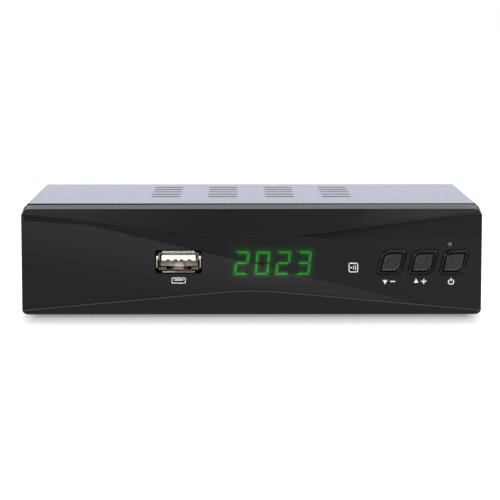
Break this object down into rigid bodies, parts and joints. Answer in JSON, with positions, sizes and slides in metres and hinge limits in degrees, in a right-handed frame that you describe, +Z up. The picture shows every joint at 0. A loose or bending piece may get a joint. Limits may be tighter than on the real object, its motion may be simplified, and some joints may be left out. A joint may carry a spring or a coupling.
{
  "type": "digital television receiver",
  "caption": "Low black set-top box with a waisted gloss front, lit clock display, serial bus port, leaf-shaped push buttons, a vented steel cover and rear aerial, video and audio sockets.",
  "frame": {"origin": "on the table, under the middle of the box with its rear sockets", "axes": "+X to the right seen from the front, +Y to the rear, +Z up"},
  "size_m": [0.15, 0.0856, 0.037],
  "materials": {
    "gloss_black": "polished moulded black",
    "smoked_window": "polished smoked sheet",
    "painted_steel": "fine satin black paint",
    "rubber": "soft matt",
    "screw_steel": "zinc plated",
    "cap_plastic": "dark grey with a fine raised check",
    "plunger_plastic": "ivory",
    "black_moulding": "moulded black",
    "board_laminate": "green solder mask",
    "display_black": "black face",
    "lit_green": "lit segment",
    "unlit_segment": "unlit segment",
    "eye_resin": "dark infrared resin",
    "lamp_resin": "tinted clear resin",
    "white_plastic": "white",
    "nickel": "nickel plated",
    "gold_contact": "gold flash",
    "tinplate": "tinned",
    "orange_plastic": "orange",
    "ribbon_grey": "grey ribbon",
    "chip_resin": "chip moulding",
    "bare_aluminium": "bare extrusion",
    "ferrite": "ferrite",
    "capacitor_sleeve": "dark blue sleeve"
  },
  "bodies": {
    "case": {"front_bezel": "gloss_black", "front_lens": "smoked_window", "top_cover": "painted_steel", "chassis": "painted_steel", "rubber_feet": "rubber", "cover_screws": "screw_steel", "switch_bodies": "black_moulding", "front_board": "board_laminate", "front_board_screws": "screw_steel", "display_housing": "display_black", "lit_segments": "lit_green", "unlit_segments": "unlit_segment", "infrared_eye": "eye_resin", "standby_lamp": "lamp_resin", "lamp_spacer": "white_plastic", "usb_shell": "nickel", "usb_tongue": "white_plastic", "usb_contacts": "gold_contact", "front_header": "white_plastic", "main_header": "white_plastic", "ribbon_cable": "ribbon_grey", "main_board": "board_laminate", "main_board_screws": "screw_steel", "tuner_can": "tinplate", "rf_in_barrel": "nickel", "rf_in_insulator": "white_plastic", "rf_in_contact": "gold_contact", "rf_out_barrel": "nickel", "rf_out_insulator": "white_plastic", "rf_out_pin": "gold_contact", "hdmi_shell": "nickel", "hdmi_tongue": "black_moulding", "scart_body": "black_moulding", "scart_contacts": "tinplate", "audio_jack_body": "black_moulding", "audio_jack_barrel": "gold_contact", "audio_jack_insert": "orange_plastic", "power_jack_body": "black_moulding", "power_jack_pin": "nickel", "processor_chip": "chip_resin", "heat_sink": "bare_aluminium", "memory_chip": "chip_resin", "flash_chip": "chip_resin", "crystal_can": "tinplate", "power_chokes": "ferrite", "capacitors": "capacitor_sleeve"},
    "channel_down_key": {"channel_down_button": "cap_plastic", "channel_down_plunger": "plunger_plastic"},
    "channel_up_key": {"channel_up_button": "cap_plastic", "channel_up_plunger": "plunger_plastic"},
    "power_key": {"power_button": "cap_plastic", "power_plunger": "plunger_plastic"}
  },
  "joints": [
    {"name": "channel_down_press", "type": "slide", "parent": "case", "child": "channel_down_key", "axis": [0, 1, 0], "range_m": [0, 0.0005], "stiffness_N_per_m": 2200, "springref_m": -0.0003},
    {"name": "channel_up_press", "type": "slide", "parent": "case", "child": "channel_up_key", "axis": [0, 1, 0], "range_m": [0, 0.0005], "stiffness_N_per_m": 2200, "springref_m": -0.0003},
    {"name": "power_press", "type": "slide", "parent": "case", "child": "power_key", "axis": [0, 1, 0], "range_m": [0, 0.0005], "stiffness_N_per_m": 2200, "springref_m": -0.0003}
  ]
}
